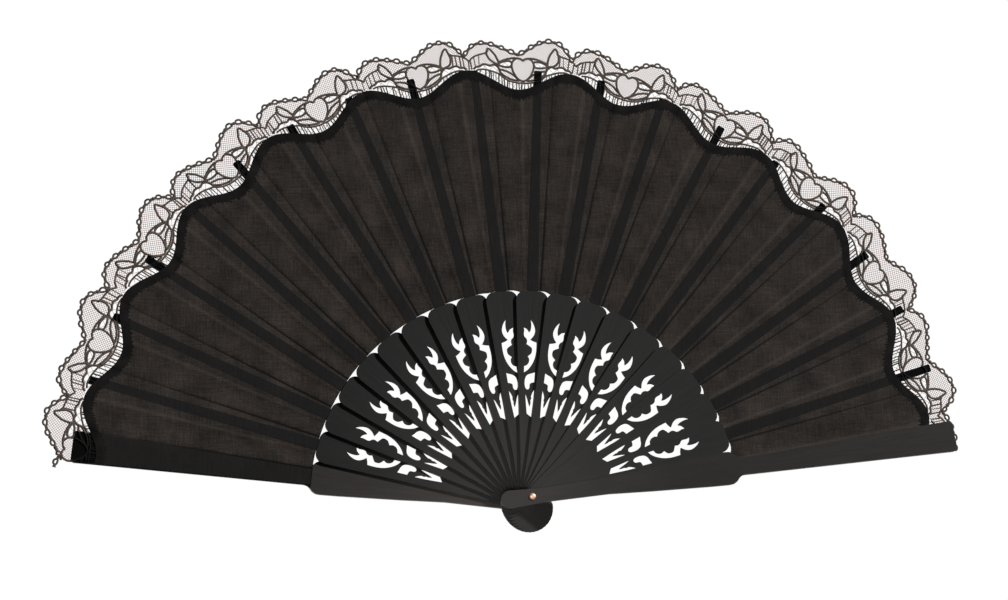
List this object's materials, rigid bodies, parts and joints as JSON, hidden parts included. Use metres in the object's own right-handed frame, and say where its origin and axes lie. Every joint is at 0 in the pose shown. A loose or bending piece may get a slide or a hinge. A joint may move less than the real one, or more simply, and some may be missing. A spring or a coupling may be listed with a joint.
{
  "type": "folding hand fan",
  "caption": "Folding hand fan with pierced black wooden sticks, plain guards, a pleated dark cotton leaf and a scalloped lace border, shown fully open.",
  "frame": {"origin": "centre of the rivet's flat tail face, in the plane of the rear guard's back face", "axes": "+Z out of the fan's front face along the rivet, +Y from the rivet to the middle of the open leaf, +X along the span towards the front guard"},
  "size_m": [0.4379, 0.2428, 0.0261],
  "materials": {
    "guard_wood": "black stained wood, satin",
    "stick_wood": "black stained wood, satin, pierced edges clean",
    "leaf_cloth": "thin dark cotton, slightly see-through",
    "lace_thread": "black lace of fine thread on open net",
    "rivet_metal": "plain coppery rivet, softly polished"
  },
  "bodies": {
    "rear_guard": {"rear_guard": "guard_wood", "rivet": "rivet_metal", "rivet_washer": "rivet_metal", "leaf_panel_01": "leaf_cloth", "lace_panel_01": "lace_thread"},
    "stick_01": {"stick_01": "stick_wood", "leaf_panel_02": "leaf_cloth", "lace_panel_02": "lace_thread"},
    "stick_02": {"stick_02": "stick_wood", "leaf_panel_03": "leaf_cloth", "lace_panel_03": "lace_thread"},
    "stick_03": {"stick_03": "stick_wood", "leaf_panel_04": "leaf_cloth", "lace_panel_04": "lace_thread"},
    "stick_04": {"stick_04": "stick_wood", "leaf_panel_05": "leaf_cloth", "lace_panel_05": "lace_thread"},
    "stick_05": {"stick_05": "stick_wood", "leaf_panel_06": "leaf_cloth", "lace_panel_06": "lace_thread"},
    "stick_06": {"stick_06": "stick_wood", "leaf_panel_07": "leaf_cloth", "lace_panel_07": "lace_thread"},
    "stick_07": {"stick_07": "stick_wood", "leaf_panel_08": "leaf_cloth", "lace_panel_08": "lace_thread"},
    "stick_08": {"stick_08": "stick_wood", "leaf_panel_09": "leaf_cloth", "lace_panel_09": "lace_thread"},
    "stick_09": {"stick_09": "stick_wood", "leaf_panel_10": "leaf_cloth", "lace_panel_10": "lace_thread"},
    "stick_10": {"stick_10": "stick_wood", "leaf_panel_11": "leaf_cloth", "lace_panel_11": "lace_thread"},
    "stick_11": {"stick_11": "stick_wood", "leaf_panel_12": "leaf_cloth", "lace_panel_12": "lace_thread"},
    "stick_12": {"stick_12": "stick_wood", "leaf_panel_13": "leaf_cloth", "lace_panel_13": "lace_thread"},
    "stick_13": {"stick_13": "stick_wood", "leaf_panel_14": "leaf_cloth", "lace_panel_14": "lace_thread"},
    "stick_14": {"stick_14": "stick_wood", "leaf_panel_15": "leaf_cloth", "lace_panel_15": "lace_thread"},
    "stick_15": {"stick_15": "stick_wood", "leaf_panel_16": "leaf_cloth", "lace_panel_16": "lace_thread"},
    "stick_16": {"stick_16": "stick_wood", "leaf_panel_17": "leaf_cloth", "lace_panel_17": "lace_thread"},
    "stick_17": {"stick_17": "stick_wood", "leaf_panel_18": "leaf_cloth", "lace_panel_18": "lace_thread"},
    "stick_18": {"stick_18": "stick_wood", "leaf_panel_19": "leaf_cloth", "lace_panel_19": "lace_thread"},
    "front_guard": {"front_guard": "guard_wood"}
  },
  "joints": [
    {"name": "turn_01", "type": "hinge", "parent": "rear_guard", "child": "stick_01", "pos_m": [0, 0, 0.012], "axis": [0, 0, 1], "range_deg": [0, 8.62]},
    {"name": "turn_02", "type": "hinge", "parent": "stick_01", "child": "stick_02", "pos_m": [0, 0, 0.012], "axis": [0, 0, 1], "range_deg": [0, 8.62]},
    {"name": "turn_03", "type": "hinge", "parent": "stick_02", "child": "stick_03", "pos_m": [0, 0, 0.012], "axis": [0, 0, 1], "range_deg": [0, 8.62]},
    {"name": "turn_04", "type": "hinge", "parent": "stick_03", "child": "stick_04", "pos_m": [0, 0, 0.012], "axis": [0, 0, 1], "range_deg": [0, 8.62]},
    {"name": "turn_05", "type": "hinge", "parent": "stick_04", "child": "stick_05", "pos_m": [0, 0, 0.012], "axis": [0, 0, 1], "range_deg": [0, 8.62]},
    {"name": "turn_06", "type": "hinge", "parent": "stick_05", "child": "stick_06", "pos_m": [0, 0, 0.012], "axis": [0, 0, 1], "range_deg": [0, 8.62]},
    {"name": "turn_07", "type": "hinge", "parent": "stick_06", "child": "stick_07", "pos_m": [0, 0, 0.012], "axis": [0, 0, 1], "range_deg": [0, 8.62]},
    {"name": "turn_08", "type": "hinge", "parent": "stick_07", "child": "stick_08", "pos_m": [0, 0, 0.012], "axis": [0, 0, 1], "range_deg": [0, 8.62]},
    {"name": "turn_09", "type": "hinge", "parent": "stick_08", "child": "stick_09", "pos_m": [0, 0, 0.012], "axis": [0, 0, 1], "range_deg": [0, 8.62]},
    {"name": "turn_10", "type": "hinge", "parent": "stick_09", "child": "stick_10", "pos_m": [0, 0, 0.012], "axis": [0, 0, 1], "range_deg": [0, 8.62]},
    {"name": "turn_11", "type": "hinge", "parent": "stick_10", "child": "stick_11", "pos_m": [0, 0, 0.012], "axis": [0, 0, 1], "range_deg": [0, 8.62]},
    {"name": "turn_12", "type": "hinge", "parent": "stick_11", "child": "stick_12", "pos_m": [0, 0, 0.012], "axis": [0, 0, 1], "range_deg": [0, 8.62]},
    {"name": "turn_13", "type": "hinge", "parent": "stick_12", "child": "stick_13", "pos_m": [0, 0, 0.012], "axis": [0, 0, 1], "range_deg": [0, 8.62]},
    {"name": "turn_14", "type": "hinge", "parent": "stick_13", "child": "stick_14", "pos_m": [0, 0, 0.012], "axis": [0, 0, 1], "range_deg": [0, 8.62]},
    {"name": "turn_15", "type": "hinge", "parent": "stick_14", "child": "stick_15", "pos_m": [0, 0, 0.012], "axis": [0, 0, 1], "range_deg": [0, 8.62]},
    {"name": "turn_16", "type": "hinge", "parent": "stick_15", "child": "stick_16", "pos_m": [0, 0, 0.012], "axis": [0, 0, 1], "range_deg": [0, 8.62]},
    {"name": "turn_17", "type": "hinge", "parent": "stick_16", "child": "stick_17", "pos_m": [0, 0, 0.012], "axis": [0, 0, 1], "range_deg": [0, 8.62]},
    {"name": "turn_18", "type": "hinge", "parent": "stick_17", "child": "stick_18", "pos_m": [0, 0, 0.012], "axis": [0, 0, 1], "range_deg": [0, 8.62]},
    {"name": "turn_19", "type": "hinge", "parent": "stick_18", "child": "front_guard", "pos_m": [0, 0, 0.012], "axis": [0, 0, 1], "range_deg": [0, 9.54]}
  ],
  "couplings": [
    {"joint": "turn_02", "follows": "turn_01", "ratio": 1},
    {"joint": "turn_03", "follows": "turn_01", "ratio": 1},
    {"joint": "turn_04", "follows": "turn_01", "ratio": 1},
    {"joint": "turn_05", "follows": "turn_01", "ratio": 1},
    {"joint": "turn_06", "follows": "turn_01", "ratio": 1},
    {"joint": "turn_07", "follows": "turn_01", "ratio": 1},
    {"joint": "turn_08", "follows": "turn_01", "ratio": 1},
    {"joint": "turn_09", "follows": "turn_01", "ratio": 1},
    {"joint": "turn_10", "follows": "turn_01", "ratio": 1},
    {"joint": "turn_11", "follows": "turn_01", "ratio": 1},
    {"joint": "turn_12", "follows": "turn_01", "ratio": 1},
    {"joint": "turn_13", "follows": "turn_01", "ratio": 1},
    {"joint": "turn_14", "follows": "turn_01", "ratio": 1},
    {"joint": "turn_15", "follows": "turn_01", "ratio": 1},
    {"joint": "turn_16", "follows": "turn_01", "ratio": 1},
    {"joint": "turn_17", "follows": "turn_01", "ratio": 1},
    {"joint": "turn_18", "follows": "turn_01", "ratio": 1},
    {"joint": "turn_19", "follows": "turn_01", "ratio": 1.1067}
  ]
}
